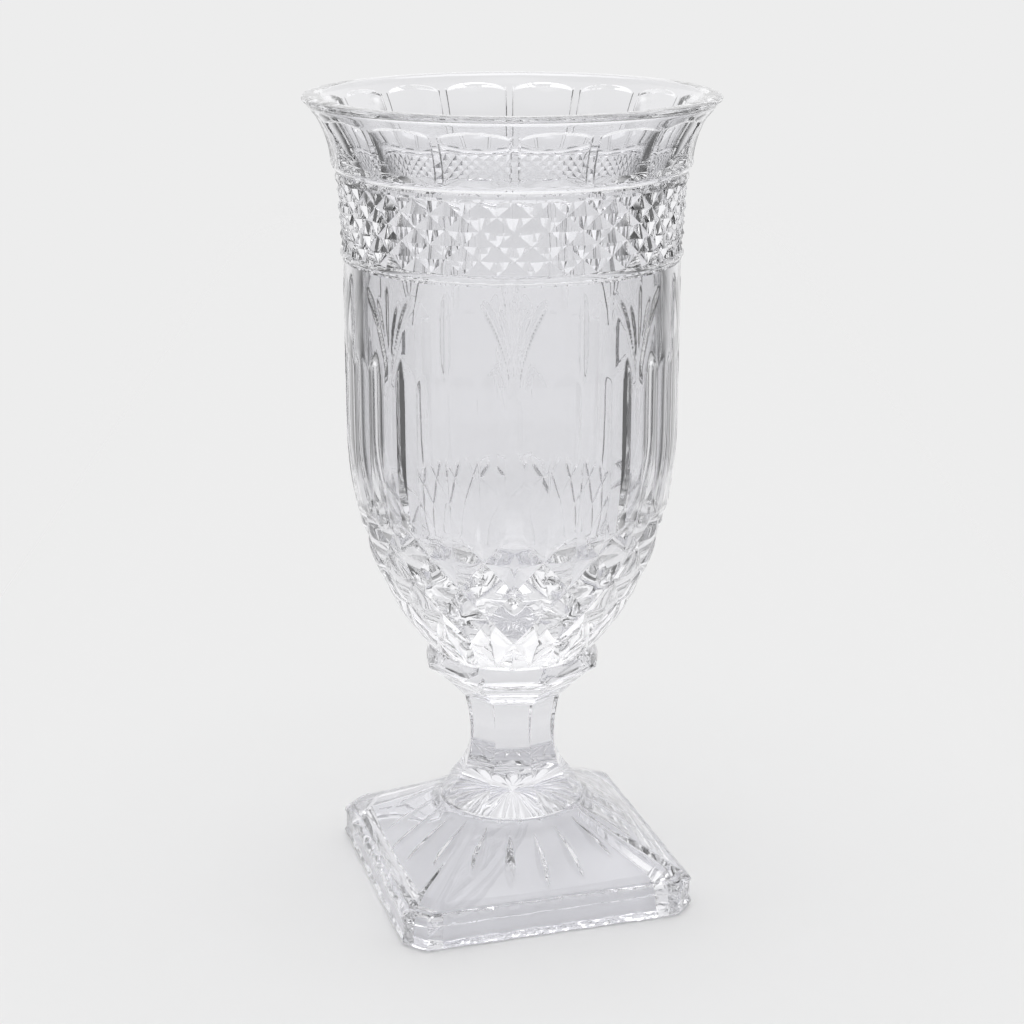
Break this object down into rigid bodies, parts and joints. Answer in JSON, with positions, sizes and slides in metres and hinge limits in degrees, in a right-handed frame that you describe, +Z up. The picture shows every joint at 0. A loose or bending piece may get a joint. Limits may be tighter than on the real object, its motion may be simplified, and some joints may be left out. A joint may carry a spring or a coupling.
{
  "type": "cut crystal vase",
  "caption": "Footed cut crystal vase: flared bowl with diamond bands and upright flutes, octagonal stem and square star-cut foot.",
  "frame": {"origin": "centre of the foot's underside, on the table", "axes": "+Z up along the vase's axis; the sides of the square foot are parallel to X and Y; -Y is the front side of the foot"},
  "size_m": [0.15, 0.15, 0.305],
  "materials": {
    "crystal_bowl": "polished clear lead crystal, cut outside and smooth inside",
    "crystal_stem": "polished clear lead crystal with eight flat panels",
    "crystal_foot": "polished clear lead crystal, star cut beneath"
  },
  "bodies": {
    "root": {"bowl": "crystal_bowl", "stem": "crystal_stem", "foot": "crystal_foot"}
  },
  "joints": []
}
